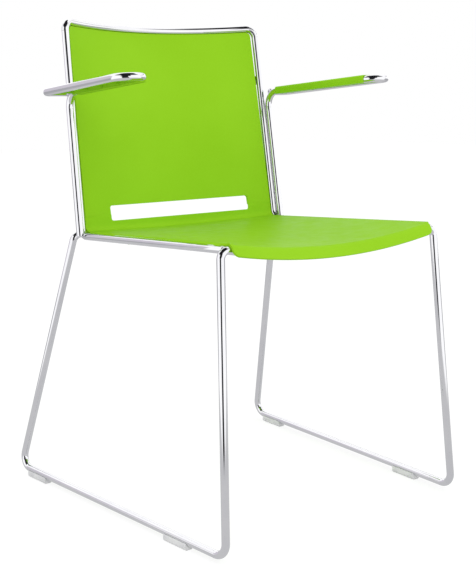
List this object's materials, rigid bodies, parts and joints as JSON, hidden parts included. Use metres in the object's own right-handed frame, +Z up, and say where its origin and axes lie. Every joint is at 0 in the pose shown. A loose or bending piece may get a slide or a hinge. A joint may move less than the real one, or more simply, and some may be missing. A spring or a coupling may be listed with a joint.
{
  "type": "stacking armchair",
  "caption": "Stacking armchair with a bent chromed rod sled frame, a green plastic seat and back with a slot between them, and plastic arm pads.",
  "frame": {"origin": "on the floor, in the middle of the sled base's footprint", "axes": "+Z up, the sitter faces -Y, the sitter's left is +X"},
  "size_m": [0.5512, 0.5426, 0.7699],
  "materials": {
    "chrome_rod": "bright plated steel rod",
    "green_plastic": "moulded polypropylene, satin sheen",
    "clear_plastic": "milky nylon",
    "chrome_tab": "plated strip steel",
    "steel_screw": "zinc plated"
  },
  "bodies": {
    "root": {"back_panel": "green_plastic", "back_screws": "steel_screw", "back_tabs": "chrome_tab", "front_cross_rod": "chrome_rod", "left_arm_loop": "chrome_rod", "left_arm_pad": "green_plastic", "left_arm_support": "chrome_rod", "left_front_glide": "clear_plastic", "left_front_leg": "chrome_rod", "left_rear_glide": "clear_plastic", "left_rear_leg": "chrome_rod", "left_runner": "chrome_rod", "left_side_rail": "chrome_rod", "left_upright": "chrome_rod", "rear_cross_rod": "chrome_rod", "right_arm_loop": "chrome_rod", "right_arm_pad": "green_plastic", "right_arm_support": "chrome_rod", "right_front_glide": "clear_plastic", "right_front_leg": "chrome_rod", "right_rear_glide": "clear_plastic", "right_rear_leg": "chrome_rod", "right_runner": "chrome_rod", "right_side_rail": "chrome_rod", "right_upright": "chrome_rod", "seat": "green_plastic", "seat_screws": "steel_screw", "seat_tabs": "chrome_tab", "top_rail": "chrome_rod"}
  },
  "joints": []
}
